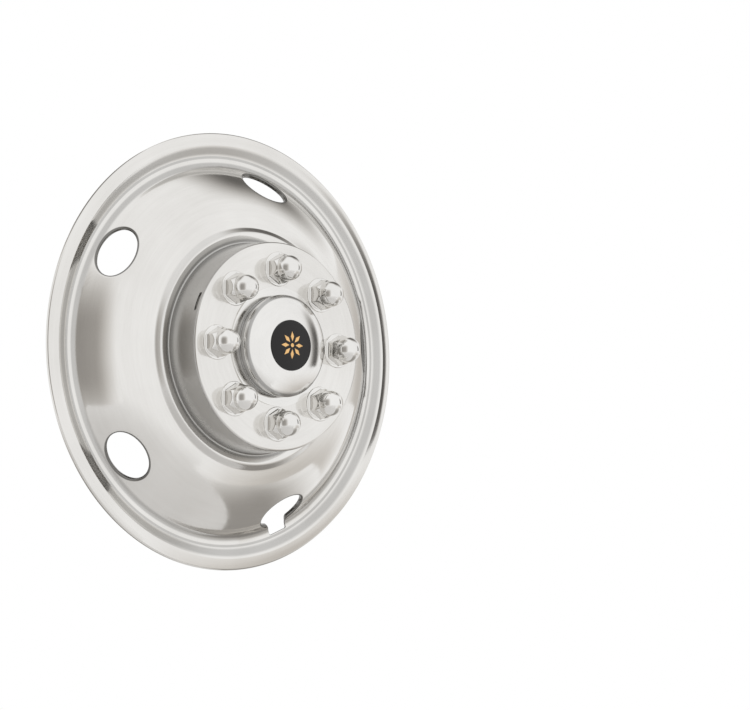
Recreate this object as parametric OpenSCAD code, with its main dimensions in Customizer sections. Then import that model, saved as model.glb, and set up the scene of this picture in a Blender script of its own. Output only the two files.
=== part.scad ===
// Wheel simulator for the front wheel of a truck: a stamped stainless liner that
// covers a steel disc wheel, with eight lug nut covers, a centre cap and its
// spring clips. Millimetres. The wheel axis lies along Y and the face looks
// towards -Y. The origin is on the axis, in the plane of the rolled rim edge
// that seats on the steel rim.

/* [Rim] */
// Outer diameter of the rolled rim edge
rim_d = 471; // [468:1:474]
// Thickness of the stamped sheet
sheet_t = 1.2; // [0.8:0.1:1.4]
// Depth of the rolled edge, from the seat to the start of the flange
lip_depth = 3.4; // [2.6:0.2:4]
// Radius of the rolled edge
lip_round = 2; // [1.6:0.2:2.4]
// Height of the flange above the seat, halfway across it
flange_h = 5; // [4.6:0.1:5.2]
// Radial width of the flange
flange_w = 13; // [12:0.5:14]
// Height of the flange's inner edge above the seat
flange_in_h = 5.8; // [5.6:0.1:6.2]
// Radial width of the sloping band inside the flange
band_w = 11.5; // [10:0.5:13]
// Height of the valley floor above the seat
valley_h = 0.8; // [0.4:0.2:1.4]
// Radial width of the valley floor, as far as it would meet the dish
valley_w = 11.7; // [11.1:0.1:12.5]

/* [Dish] */
// Height of the crease between the dish and the shoulder above the seat
shoulder_h = 48.8; // [46:0.4:52]
// Radius of the dish in section
dish_round = 104.5; // [98:0.5:120]
// Fillet between the valley floor and the dish
dish_fillet = 8; // [4:1:10]

/* [Hand holes] */
// Distance of a hand hole's middle inside the foot of the dish
hole_inset = 14.3; // [13:0.1:16]
// Width of a hand hole, round the wheel
hole_w = 59; // [50:1:64]
// Height of a hand hole, down the dish
hole_len = 38; // [30:1:40]
// Depth of the collar that is drawn inwards round a hand hole
collar_depth = 4.6; // [3:0.2:6]
// Angle of the hand hole that has the valve notch
valve_angle = -67.5; // [-70:0.5:-65]
// Width of the valve notch
notch_w = 24; // [18:1:28]
// How far the valve notch reaches outside the foot of the dish
notch_out = 7.5; // [6:0.5:8.5]
// Radius that blends the notch's sides into the hand hole
notch_blend = 5; // [3:0.5:6]

/* [Drum] */
// Width of the plate outside the foot rings of the lug nut covers
plate_margin = 10.15; // [8:0.05:12]
// Height of the plate above the seat
plate_h = 94.5; // [88:0.5:100]
// Radius of the plate's outer edge
plate_round = 2.5; // [1.5:0.5:4]
// How far the foot of the drum wall lies outside the plate's edge
drum_draft = 1.5; // [0.5:0.1:3]
// Radial width of the facet between the groove and the ridge outside it
groove_w = 11.3; // [10:0.1:13]
// Depth of the groove below that ridge
groove_drop = 3; // [2:0.2:4]
// Radial width of the shoulder between the ridge and the crease
facet_w = 6; // [5:0.5:8]
// Height of the ridge above the crease
ridge_rise = 5.8; // [5:0.2:7]
// Length of the narrow slot in the drum wall
slot_len = 21; // [12:1:28]
// Width of the narrow slot
slot_w = 4; // [2:0.5:5]
// Angle of the narrow slot, midway between two covers
slot_angle = 157.5; // [150:0.5:165]
// Distance of the slot's middle behind the plate
slot_back = 7.2; // [6:0.2:12]

/* [Lug nut covers] */
// Diameter of the circle through the lug nut covers
lug_circle_d = 165.1; // [162:0.1:168]
// Width of a cover across its flats
hex_af = 28; // [27.4:0.2:30]
// Diameter of the ring at the foot of a cover
cover_foot_d = 37; // [35:0.5:40]
// Thickness of that ring
cover_foot_t = 1.6; // [1.2:0.2:2.4]
// How far the cover's domed end stays inside its flats
cover_dome_in = 0.4; // [0.3:0.1:0.7]
// Height of the middle of the domed end above the plate
cover_dome_h = 18.5; // [16:0.5:22]
// Thickness of the cover's domed end round its pocket
cover_t = 1.4; // [1.2:0.1:2]
// Thickness of the tail that passes through the plate
tail_t = 1; // [0.8:0.1:1.2]
// Length of the tail behind the plate
tail_len = 6; // [4:0.5:9]
// Clearance of the tail in the plate
tail_gap = 0.2; // [0.1:0.1:0.5]
// Width of the push-on ring that holds a cover from behind
ring_w = 3.7; // [3:0.1:4.5]
// Thickness of the push-on ring
ring_t = 0.8; // [0.6:0.1:1.4]
// Clearance between the push-on ring and the tail
ring_gap = 0.1; // [0.1:0.1:0.3]

/* [Centre cap] */
// Gap between the cap's flange and the foot rings of the covers
cap_gap = 0.55; // [0.4:0.05:1.5]
// Radial width of the cap's flange, outside its neck
cap_flange_w = 11; // [9.5:0.5:12]
// How far the dome bulges out over the neck
dome_bulge = 2; // [1.4:0.1:3]
// Height of the dome's widest part above the plate
dome_h = 11; // [10:0.2:13]
// Height of the dome above its widest part, before its top is flattened
dome_rise = 12.8; // [11:0.2:16]
// How far the plate's centre opening is cut outside the cap's neck
opening_out = 1.5; // [1:0.1:2.5]
// Diameter of the emblem disc
emblem_d = 54; // [48:1:56]
// Thickness of the emblem disc at its edge
emblem_t = 1.2; // [0.8:0.2:2]
// Height of the emblem's domed face above its edge
emblem_rise = 1.8; // [1:0.2:3]

/* [Spring clips] */
// Thickness of the spring steel
spring_t = 0.9; // [0.6:0.1:1.2]
// Width of a cap clip
cap_clip_w = 14; // [10:1:16]
// Reach of a cap clip behind the plate
cap_clip_reach = 10; // [8:0.5:13]
// Width of a rim clip
rim_clip_w = 20; // [14:1:24]
// Reach of a rim clip behind the valley floor
rim_clip_reach = 18; // [15:1:22]
// How far the rim clips reach outside the foot of the sloping band, to press on the rim
rim_clip_out = 3.5; // [2:0.5:5]
// Clearance between a clip and the wall beside it
clip_gap = 0.2; // [0.1:0.1:0.4]

/* [Hidden] */
LUGS = 8;
HOLES = 5;
CAP_CLIPS = 4;
RIM_CLIPS = 5;

steel_colour = "gainsboro";
spring_colour = "darkgray";
emblem_colour = "#1c1a19";
// Facets of a full turn, and degrees of turn per facet of a bend
$fn = 96;
bend_step = 9;

// Radii from the rim edge inwards
rim_r = rim_d / 2;
flange_in_r = rim_r - flange_w;
band_foot_r = flange_in_r - band_w;
dish_foot_r = band_foot_r - valley_w;
hole_r = dish_foot_r - hole_inset;
notch_r = dish_foot_r + notch_out;
// Radii from the lug circle outwards
lug_r = lug_circle_d / 2;
plate_r = lug_r + cover_foot_d / 2 + plate_margin;
drum_foot_r = plate_r + drum_draft;
ridge_r = drum_foot_r + groove_w;
shoulder_r = ridge_r + facet_w;
// Radii from the lug circle inwards
cap_flange_r = lug_r - cover_foot_d / 2 - cap_gap;
neck_r = cap_flange_r - cap_flange_w;
dome_r = neck_r + dome_bulge;
opening_r = neck_r + opening_out;
// Radii of a lug nut cover
cover_dome_r = hex_af / 2 - cover_dome_in;
pocket_r = cover_dome_r - cover_t;
tail_r = pocket_r + tail_t;
tail_hole_r = tail_r + tail_gap;
// Heights of the ridge and of the groove
ridge_h = shoulder_h + ridge_rise;
groove_h = ridge_h - groove_drop;
// Back face of the plate and of the valley floor
plate_back = plate_h - sheet_t;
valley_back = valley_h - sheet_t;

// Unit vector, and the vector a quarter turn to its left
function unit(v) = v / norm(v);
function left(v) = [-v[1], v[0]];
// Direction of a path where it arrives at point i, and where it leaves
function into(p, i) = unit(p[max(i, 1)] - p[max(i, 1) - 1]);
function out_of(p, i) = unit(p[min(i, len(p) - 2) + 1] - p[min(i, len(p) - 2)]);
// Point i of path p, moved by t to the left of the path, with its corner mitred
function moved(p, i, t) =
    let (a = left(into(p, i)), b = left(out_of(p, i)))
    p[i] + t * (a + b) / (1 + a * b);
// Bend of radius r at corner i of path p: the points of its arc
function bend(p, i, r) =
    let (
        a = into(p, i),
        b = out_of(p, i),
        side = sign(cross(a, b)),
        angle = acos(min(1, a * b)),
        steps = max(1, ceil(angle / bend_step)),
        start = p[i] - a * r * tan(angle / 2),
        middle = start + side * r * left(a)
    )
    [
        for (k = [0:steps])
            let (turn = side * angle * k / steps, d = start - middle)
            middle + [
                d[0] * cos(turn) - d[1] * sin(turn),
                d[0] * sin(turn) + d[1] * cos(turn)
            ]
    ];
// Path p with each corner bent to its radius, moved by t to the left of the path
function bent(p, radii, t = 0) =
    let (q = [for (i = [0:len(p) - 1]) moved(p, i, t)])
    [
        for (i = [0:len(p) - 1])
            let (side = sign(cross(into(p, i), out_of(p, i))), r = radii[i] - side * t)
            each (radii[i] > 0 && r > 0 ? bend(q, i, r) : [q[i]])
    ];
function reversed(p) = [for (i = [len(p) - 1:-1:0]) p[i]];
// Outline of a sheet of thickness t that lies to the left of the path
function sheet(p, radii, t) = concat(bent(p, radii), reversed(bent(p, radii, t)));
// Points on an arc of radius r from p to q, with its middle to the left, ends left out
function arc_between(p, q, r, steps) =
    let (
        half = norm(q - p) / 2,
        middle = (p + q) / 2 + left(unit(q - p)) * sqrt(r * r - half * half),
        sweep = 2 * asin(half / r),
        d = p - middle
    )
    [
        for (k = [1:steps - 1])
            let (turn = sweep * k / steps)
            middle + [
                d[0] * cos(turn) - d[1] * sin(turn),
                d[0] * sin(turn) + d[1] * cos(turn)
            ]
    ];

// Section of the liner's face, as [radius, height], from the rolled edge inwards.
// The radii of its bends come first.
DISH_STEPS = 16;
crown_round = 24;
flange_edge_round = 2.6;
band_fillet = 2.4;
crease_fillet = 1.6;
ridge_round = 4.5;
groove_fillet = 1.8;
dish_foot = [dish_foot_r, valley_h];
dish_top = [shoulder_r, shoulder_h];
dish_arc = arc_between(dish_foot, dish_top, dish_round, DISH_STEPS);
face_corners = [
    [[rim_r, 0], 0],
    [[rim_r, lip_depth], lip_round],
    [[rim_r - flange_w / 2, flange_h], crown_round],
    [[flange_in_r, flange_in_h], flange_edge_round],
    [[band_foot_r, valley_h], band_fillet],
    [dish_foot, dish_fillet],
    for (p = dish_arc) [p, 0],
    [dish_top, crease_fillet],
    [[ridge_r, ridge_h], ridge_round],
    [[drum_foot_r, groove_h], groove_fillet],
    [[plate_r, plate_h], plate_round],
    [[opening_r, plate_h], 0],
];
face_path = [for (c = face_corners) c[0]];
face_radii = [for (c = face_corners) c[1]];

// The dish's height and slope at the middle of the hand holes, from its arc
dish_middle =
    (dish_foot + dish_top) / 2
    + left(unit(dish_top - dish_foot))
    * sqrt(pow(dish_round, 2) - pow(norm(dish_top - dish_foot) / 2, 2));
hole_h = dish_middle[1] + sqrt(pow(dish_round, 2) - pow(hole_r - dish_middle[0], 2));
hole_slope = asin((hole_r - dish_middle[0]) / dish_round);

// Turns the working frame, with height along Z, so that the face looks towards -Y
module on_wheel() {
    rotate([90, 0, 0]) children();
}

// Sets its children on a circle of radius r, at the given angle from +X
module at_angle(angle, r = 0) {
    rotate([0, 0, angle]) translate([r, 0, 0]) children();
}

// An oval of the given size, round in plan
module oval(w, len) {
    steps = 40;
    polygon([for (k = [0:steps - 1]) [len / 2 * cos(360 * k / steps), w / 2 * sin(360 * k / steps)]]);
}

// A block along the axis of one hand hole, square to the dish, with the hole's outline
module hole_prism(grow, back, front) {
    translate([0, 0, hole_h]) rotate([0, hole_slope, 0]) translate([0, 0, -back])
        linear_extrude(back + front) oval(hole_w + 2 * grow, hole_len + 2 * grow);
}

// The dish alone as a thick shell, which trims the collars to its form
module dish_shell(depth) {
    path = concat([dish_foot], dish_arc, [dish_top]);
    radii = [for (p = path) 0];
    rotate_extrude() polygon(sheet(path, radii, depth));
}

// Where the notch's sides leave the hand hole, in the plane of the wheel
notch_share = sqrt(1 - pow(notch_w / hole_w, 2));
notch_drop = pow(hole_len / 2 * notch_share, 2) / (2 * dish_round);
notch_root_r = hole_r + hole_len / 2 * notch_share * cos(hole_slope) - notch_drop * sin(hole_slope);

// The bottom of the valve notch, its sides, and the corners that blend them into the hole
module notch_outline() {
    corner = 3;
    overlap = 0.4;
    half = notch_w / 2;
    translate([hole_r, -half]) square([notch_r - corner - hole_r, notch_w]);
    translate([hole_r, corner - half]) square([notch_r - hole_r, notch_w - 2 * corner]);
    for (y = [-1, 1]) translate([notch_r - corner, y * (half - corner)]) circle(corner);
    for (y = [0, 1]) mirror([0, y]) difference() {
        translate([notch_root_r - overlap, half - overlap])
            square([notch_blend + overlap, notch_blend + overlap]);
        translate([notch_root_r + notch_blend, half + notch_blend]) circle(notch_blend);
    }
}

// The narrow slot's outline with its rounded ends, standing along the wall
module slot_cutter() {
    straight = slot_len - slot_w;
    reach = 8;
    translate([plate_r - reach / 2, 0, plate_h - slot_back]) rotate([0, 90, 0]) {
        translate([-slot_w / 2, -straight / 2, 0]) cube([slot_w, straight, reach]);
        for (y = [-1, 1]) translate([0, y * straight / 2, 0]) cylinder(h = reach, d = slot_w);
    }
}

// Angle of hand hole i, counted from the one with the valve notch
function hole_angle(i) = valve_angle + 360 / HOLES * i;
// Where lug nut cover i stands in the plane of the plate
function lug_place(i) = lug_r * [cos(360 / LUGS * i), sin(360 / LUGS * i)];

// The stamped liner: rim flange, valley, dish, shoulder, drum and plate in one sheet
module wheel_liner() {
    hole_front = 9;
    hole_back = 14;
    color(steel_colour) on_wheel() difference() {
        union() {
            rotate_extrude() polygon(sheet(face_path, face_radii, sheet_t));
            intersection() {
                dish_shell(collar_depth);
                for (i = [0:HOLES - 1])
                    at_angle(hole_angle(i), hole_r) hole_prism(sheet_t, hole_back, hole_front);
            }
        }
        for (i = [0:HOLES - 1])
            at_angle(hole_angle(i), hole_r) hole_prism(0, hole_back, hole_front);
        at_angle(valve_angle) translate([0, 0, valley_h - collar_depth - 10])
            linear_extrude(40) notch_outline();
        at_angle(slot_angle) slot_cutter();
        for (i = [0:LUGS - 1])
            translate(lug_place(i)) cylinder(h = plate_h + 1, r = tail_hole_r);
    }
}

// One lug nut cover: foot ring, tapered hexagon and domed end, hollow from behind
module lug_nut_cover(i) {
    hex_r = hex_af / 2 / cos(30);
    taper_len = 8;
    taper_top = cover_dome_h - 3;
    taper_foot = taper_top - taper_len;
    foot_round = cover_foot_t / 2;
    clear = 0.2;
    color(steel_colour) on_wheel() translate(lug_place(i)) translate([0, 0, plate_h])
        difference() {
            union() {
                rotate_extrude() polygon(concat(
                    [[0, 0], [cover_foot_d / 2, 0]],
                    [for (t = [0:15:90]) [
                        cover_foot_d / 2 - foot_round * (1 - cos(t)),
                        cover_foot_t - foot_round * (1 - sin(t))
                    ]],
                    [[0, cover_foot_t]]
                ));
                intersection() {
                    rotate([0, 0, 30]) cylinder(h = cover_dome_h, r = hex_r, $fn = 6);
                    union() {
                        cylinder(h = taper_foot, r = hex_r + clear);
                        translate([0, 0, taper_foot])
                            cylinder(h = taper_len, r1 = hex_r + clear, r2 = cover_dome_r);
                    }
                }
                cylinder(h = cover_dome_h, r = cover_dome_r);
                translate([0, 0, cover_dome_h]) sphere(cover_dome_r);
                translate([0, 0, -sheet_t - tail_len]) cylinder(h = sheet_t + tail_len, r = tail_r);
            }
            translate([0, 0, -sheet_t - tail_len - 1])
                cylinder(h = cover_dome_h + sheet_t + tail_len + 1, r = pocket_r);
            translate([0, 0, cover_dome_h]) sphere(pocket_r);
        }
}

// The push-on ring that grips a cover's tail behind the plate
module push_ring(i) {
    teeth = 6;
    relief_w = 2;
    inner_r = tail_r + ring_gap;
    relief_r = inner_r + ring_w / 2;
    color(spring_colour) on_wheel() translate(lug_place(i)) translate([0, 0, plate_back - ring_t])
        difference() {
            cylinder(h = ring_t, r = inner_r + ring_w);
            translate([0, 0, -1]) cylinder(h = ring_t + 2, r = inner_r);
            for (k = [0:teeth - 1]) at_angle(360 / teeth * k)
                translate([0, -relief_w / 2, -1]) cube([relief_r, relief_w, ring_t + 2]);
        }
}

// Section of the cap: flange, neck and bulging dome with a flat seat for the emblem
CAP_STEPS = 20;
cap_foot_round = 0.8;
cap_neck_fillet = 1.2;
seat_gap = 0.5;
seat_r = emblem_d / 2 + seat_gap;
function dome_point(t) = [dome_r * cos(t), plate_h + dome_h + dome_rise * sin(t)];
dome_from = -acos(neck_r / dome_r);
dome_to = acos(seat_r / dome_r);
seat_h = dome_point(dome_to)[1];
cap_corners = [
    [[cap_flange_r, plate_h + sheet_t], 0],
    [[neck_r, plate_h + sheet_t], cap_foot_round],
    [dome_point(dome_from), cap_neck_fillet],
    for (k = [1:CAP_STEPS]) [dome_point(dome_from + (dome_to - dome_from) * k / CAP_STEPS), 0],
    [[0, seat_h], 0],
];

// The centre cap, spun from the same sheet
module centre_cap() {
    path = [for (c = cap_corners) c[0]];
    radii = [for (c = cap_corners) c[1]];
    color(steel_colour) on_wheel() rotate_extrude() polygon(sheet(path, radii, sheet_t));
}

// The emblem disc: a flat back and a slightly domed face
module cap_emblem() {
    r = emblem_d / 2;
    ball = (r * r + emblem_rise * emblem_rise) / (2 * emblem_rise);
    spread = asin(r / ball);
    steps = 10;
    color(emblem_colour) on_wheel() translate([0, 0, seat_h]) rotate_extrude() polygon(concat(
        [[0, 0], [r, 0]],
        [for (k = [0:steps]) [
            ball * sin(spread * (1 - k / steps)),
            emblem_t + emblem_rise - ball * (1 - cos(spread * (1 - k / steps)))
        ]]
    ));
}

// Radius of a flat face of width w whose corners reach radius r
function chord_r(r, w) = sqrt(r * r - w * w / 4);

// A strip of spring steel bent to a path in the radial plane, across width w
module spring_strip(path, radii, w) {
    rotate([90, 0, 0]) translate([0, 0, -w / 2])
        linear_extrude(w) polygon(sheet(path, radii, spring_t));
}

// One of the clips inside the cap's neck that hook behind the plate
module cap_clip(i) {
    edge_r = chord_r(opening_r - clip_gap, cap_clip_w);
    wall_r = chord_r(neck_r - sheet_t - clip_gap, cap_clip_w);
    hook = 3.2;
    hook_back = plate_back - cap_clip_reach * 0.45;
    lead_in = 0.6;
    path = [
        [edge_r - lead_in, plate_back - cap_clip_reach],
        [edge_r + hook, hook_back],
        [edge_r, plate_back],
        [wall_r, plate_h + sheet_t / 2],
        [wall_r, plate_h + dome_h - 2],
    ];
    radii = [0, 1.4, 1, 1, 0];
    color(spring_colour) on_wheel() at_angle(360 / CAP_CLIPS * (i + 0.5))
        spring_strip(path, radii, cap_clip_w);
}

// One of the clips behind the valley floor that press on the inside of the steel rim
module rim_clip(i) {
    // The tab lies on the flat of the valley floor, between its two fillets
    tab_out = band_foot_r - band_fillet * 0.4;
    tab_in = dish_foot_r + dish_fillet * 0.65;
    lead_in = 1.5;
    press_back = valley_back - rim_clip_reach * 0.62;
    path = [
        [tab_out - lead_in, valley_back - rim_clip_reach],
        [band_foot_r + rim_clip_out, press_back],
        [tab_out, valley_back],
        [tab_in, valley_back],
    ];
    radii = [0, 2.4, 1.6, 0];
    color(spring_colour) on_wheel() at_angle(hole_angle(i + 0.5))
        spring_strip(path, radii, rim_clip_w);
}

wheel_liner();
centre_cap();
cap_emblem();
for (i = [0:LUGS - 1]) {
    lug_nut_cover(i);
    push_ring(i);
}
for (i = [0:CAP_CLIPS - 1])
    cap_clip(i);
for (i = [0:RIM_CLIPS - 1])
    rim_clip(i);
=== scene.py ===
# %% [markdown]
# # A wheel simulator for a truck's front wheel
# The real object is a stamped and polished stainless liner that covers a steel wheel. Eight
# covers stand on it over the wheel nuts, and a spun cap closes its middle. This script dresses
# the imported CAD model: it makes the visible pieces with finer meshes than the solids have,
# and gives every surface its finish. The CAD model stays where it is and sets every place.

import math

import bmesh
import bpy
import numpy as np
from mathutils import Matrix, Vector


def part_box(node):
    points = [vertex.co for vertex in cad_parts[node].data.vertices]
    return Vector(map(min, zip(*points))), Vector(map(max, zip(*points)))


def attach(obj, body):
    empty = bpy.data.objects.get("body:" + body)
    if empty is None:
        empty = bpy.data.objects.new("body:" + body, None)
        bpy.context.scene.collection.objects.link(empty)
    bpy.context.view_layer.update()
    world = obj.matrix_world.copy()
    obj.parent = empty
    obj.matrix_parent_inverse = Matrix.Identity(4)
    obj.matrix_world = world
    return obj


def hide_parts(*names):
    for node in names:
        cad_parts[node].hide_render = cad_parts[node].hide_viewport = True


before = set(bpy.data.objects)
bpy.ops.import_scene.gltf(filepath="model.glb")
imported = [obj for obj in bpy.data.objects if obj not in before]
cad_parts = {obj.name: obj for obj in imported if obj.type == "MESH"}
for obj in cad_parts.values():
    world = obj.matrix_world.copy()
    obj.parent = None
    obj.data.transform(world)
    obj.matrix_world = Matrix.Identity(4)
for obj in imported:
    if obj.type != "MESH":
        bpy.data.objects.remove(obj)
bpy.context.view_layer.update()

# %% [markdown]
# ## Sizes
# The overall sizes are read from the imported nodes, so the dressed pieces follow the model. The
# smaller ones, such as the radii of the bends, can't be read from a box. They are named here in
# millimetres, and MM turns them into metres.

# %% Read the main sizes from the frame
MM = 0.001
liner_low, liner_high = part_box("wheel_liner")
_, cap_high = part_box("centre_cap")
_, emblem_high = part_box("cap_emblem")
cover_low, cover_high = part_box("lug_nut_cover_1")

RIM_R = liner_high.x
PLATE_H = -liner_low.y
CAP_FLANGE_R = cap_high.x
EMBLEM_R = emblem_high.x
EMBLEM_FOOT_H = -emblem_high.y
LUG_R = (cover_low.x + cover_high.x) / 2
COVER_FOOT_R = (cover_high.x - cover_low.x) / 2
COVER_TOP_H = -cover_low.y - PLATE_H
print("rim", RIM_R, "plate", PLATE_H, "lug circle", LUG_R, "cover foot", COVER_FOOT_R)

# %% Name the smaller sizes
SHEET = 1.2 * MM
FLANGE_W = 13 * MM
OPENING_R = 54 * MM
PLATE_R = 111.2 * MM
PLATE_BEND = 2.5 * MM
LUGS = 8
HOLES = 5
CAP_CLIPS = 4
FIRST_HOLE = -67.5
SLOT_ANGLE = 157.5
print("a sheet of", SHEET, "m with", HOLES, "hand holes and", LUGS, "nut covers")

# %% [markdown]
# ## The camera
# The camera stands where the photographer's stood: to the left of the wheel axis and a little
# below it, far away behind a long lens, so that the near and the far side of the rim look
# almost equally large. The wheel sits left of the picture's middle, so the camera looks past it.

# %% Set up the camera
PICTURE = (750, 710)
FOCAL_PX = 4814
SENSOR = 36
CAMERA_DISTANCE = 22 * RIM_R
CAMERA_AZIMUTH = 40.47
CAMERA_ELEVATION = -4.45
CAMERA_ROLL = -0.35
AIM_RIGHT = 0.700 * RIM_R
AIM_DOWN = 0.016 * RIM_R


def camera_matrix():
    """Where the camera stands and how it is turned, from its angles about the wheel."""
    az, el = math.radians(CAMERA_AZIMUTH), math.radians(CAMERA_ELEVATION)
    ahead = Vector((math.sin(az) * math.cos(el), math.cos(az) * math.cos(el), -math.sin(el)))
    right = ahead.cross(Vector((0, 0, 1))).normalized()
    up = right.cross(ahead)
    turn = Matrix.Rotation(math.radians(CAMERA_ROLL), 3, ahead)
    right, up = turn @ right, turn @ up
    place = right * AIM_RIGHT - up * AIM_DOWN - ahead * CAMERA_DISTANCE
    matrix = Matrix((right, up, -ahead)).transposed().to_4x4()
    matrix.translation = place
    return matrix


camera_data = bpy.data.cameras.new("camera")
camera_data.sensor_width = SENSOR
camera_data.lens = FOCAL_PX * SENSOR / PICTURE[0]
camera_data.clip_end = 100
camera = bpy.data.objects.new("camera", camera_data)
camera.matrix_world = camera_matrix()
bpy.context.scene.collection.objects.link(camera)
bpy.context.scene.camera = camera
bpy.context.scene.view_settings.view_transform = "Standard"
print("camera at", [round(v, 3) for v in camera.location], "lens", round(camera_data.lens, 1))

# %% [markdown]
# ## Nodes as Python sums
# A finish is worked out by a network of nodes. Written one by one, the nodes hide the idea, so
# this small class lets a socket be used in an ordinary sum: each operator adds one Math node.
# Any other node comes from one method, and the same class serves the Geometry Nodes trees.

# %% A socket that can be used in sums
class Value:
    """A node's output, with Python's operators."""

    def __init__(self, net, socket):
        self.net = net
        self.socket = socket

    def __add__(self, other):
        return self.net.math("ADD", self, other)

    def __radd__(self, other):
        return self.net.math("ADD", other, self)

    def __sub__(self, other):
        return self.net.math("SUBTRACT", self, other)

    def __rsub__(self, other):
        return self.net.math("SUBTRACT", other, self)

    def __mul__(self, other):
        return self.net.math("MULTIPLY", self, other)

    def __rmul__(self, other):
        return self.net.math("MULTIPLY", other, self)

    def __truediv__(self, other):
        return self.net.math("DIVIDE", self, other)


# %% A node tree that is filled by calls
class Net:
    """Adds nodes to a tree, joins them and gives back their outputs."""

    def __init__(self, tree):
        self.tree = tree

    def node(self, kind, settings=None, inputs=None, out=0):
        """Adds a node, sets it up, joins its inputs and gives back one output."""
        made = self.tree.nodes.new(kind)
        for name, value in (settings or {}).items():
            setattr(made, name, value)
        for key, value in (inputs or {}).items():
            if isinstance(value, Value):
                self.tree.links.new(value.socket, made.inputs[key])
            else:
                made.inputs[key].default_value = value
        return Value(self, made.outputs[out]) if len(made.outputs) else None

    def math(self, operation, *values):
        return self.node("ShaderNodeMath", {"operation": operation}, dict(enumerate(values)))

    def axes(self, vector):
        """A vector's three numbers."""
        parts = self.tree.nodes.new("ShaderNodeSeparateXYZ")
        self.tree.links.new(vector.socket, parts.inputs[0])
        return [Value(self, output) for output in parts.outputs]

    def vector(self, *parts):
        """Three numbers as one vector."""
        return self.node("ShaderNodeCombineXYZ", {}, dict(enumerate(parts)))

    def share(self, value, start, end, curve="LINEAR"):
        """0 up to the start, 1 from the end on, and a share of the way between them."""
        span = {0: value, 1: start, 2: end}
        return self.node("ShaderNodeMapRange", {"interpolation_type": curve}, span)

    def mix(self, share, first, second):
        """A colour between two, each given by three numbers or by an output."""
        first, second = [c if isinstance(c, Value) else (*c, 1) for c in (first, second)]
        return self.node("ShaderNodeMix", {"data_type": "RGBA"}, {0: share, 6: first, 7: second}, out=2)

    def scaled(self, colour, by):
        """A colour made darker or lighter by a number."""
        return self.node("ShaderNodeVectorMath", {"operation": "SCALE"}, {0: colour, 3: by})

    def ramp(self, factor, stops):
        """A colour ramp with (place, colour) stops."""
        made = self.tree.nodes.new("ShaderNodeValToRGB")
        elements = made.color_ramp.elements
        for place, _ in stops[2:]:
            elements.new(place)
        for element, (place, colour) in zip(elements, stops):
            element.position = place
            element.color = (*colour, 1)
        self.tree.links.new(factor.socket, made.inputs[0])
        return Value(self, made.outputs[0])

    def noise(self, vector, scale, detail=2.0):
        return self.node("ShaderNodeTexNoise", {}, {"Vector": vector, "Scale": scale, "Detail": detail})


# %% Start and end a material
def new_material(name):
    """A material with an empty tree, and its Net."""
    material = bpy.data.materials.new(name)
    material.use_nodes = True
    material.node_tree.nodes.clear()
    return material, Net(material.node_tree)


def finish_material(net, **sockets):
    """Ends a material in one Principled shader."""
    names = {key.replace("_", " "): value for key, value in sockets.items()}
    shader = net.node("ShaderNodeBsdfPrincipled", {}, names)
    net.node("ShaderNodeOutputMaterial", {}, {"Surface": shader})


# %% [markdown]
# ## Polished stainless steel
# The liner, the covers and the cap are buffed until they mirror the room. What tells the eye
# that this is steel and not glass is what the buffing leaves: faint lines round the wheel, soft
# patches that are a little duller, and a sheet that is never quite true. The lines run round the
# wheel axis, so they are noise on the radius and on the direction from the axis, which has no
# seam. The untrue sheet is a bump of some hundredths of a millimetre. The recesses, each a band of
# the radius, get painted shade: their colour is darker. They are also rougher, because the buffing
# wheel can't reach into them. Punched edges show bare cut metal, and an attribute of the mesh marks
# them. It marks the rolls and collars round the holes as well, and there the dark is painted shade.

# %% Recesses with painted shade, and punched edges
# Dark colour of the marked edge rings: bare cut metal at the cut edges, painted shade on the rolls and
# collars round the holes
CUT_METAL_AND_SHADE = (0.20, 0.195, 0.185)
# Each recess: its middle radius, half its width and how much darker its colour is painted there, as
# painted shade
PAINTED_RECESS_SHADE = [
    (0.2165, 0.0055, 0.32),
    (0.2095, 0.0020, 0.30),
    (0.2010, 0.0040, 0.32),
    (0.1270, 0.0040, 0.14),
    (0.1150, 0.0035, 0.40),
    (0.1119, 0.0016, 0.35),
]
CAP_PAINTED_RECESS_SHADE = [(0.0525, 0.0022, 0.45)]


def painted_recess_shade(net, radius, recesses):
    """Painted shade: 1 on the open face, less in each recess, with soft sides."""
    shade = 1.0
    for middle, half, depth in recesses:
        away = net.math("ABSOLUTE", radius - middle)
        inside = net.share(away, half, half * 0.4, "SMOOTHSTEP")
        shade = shade * (1.0 - inside * depth)
    return shade


print(len(PAINTED_RECESS_SHADE), "recesses on the liner")


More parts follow.
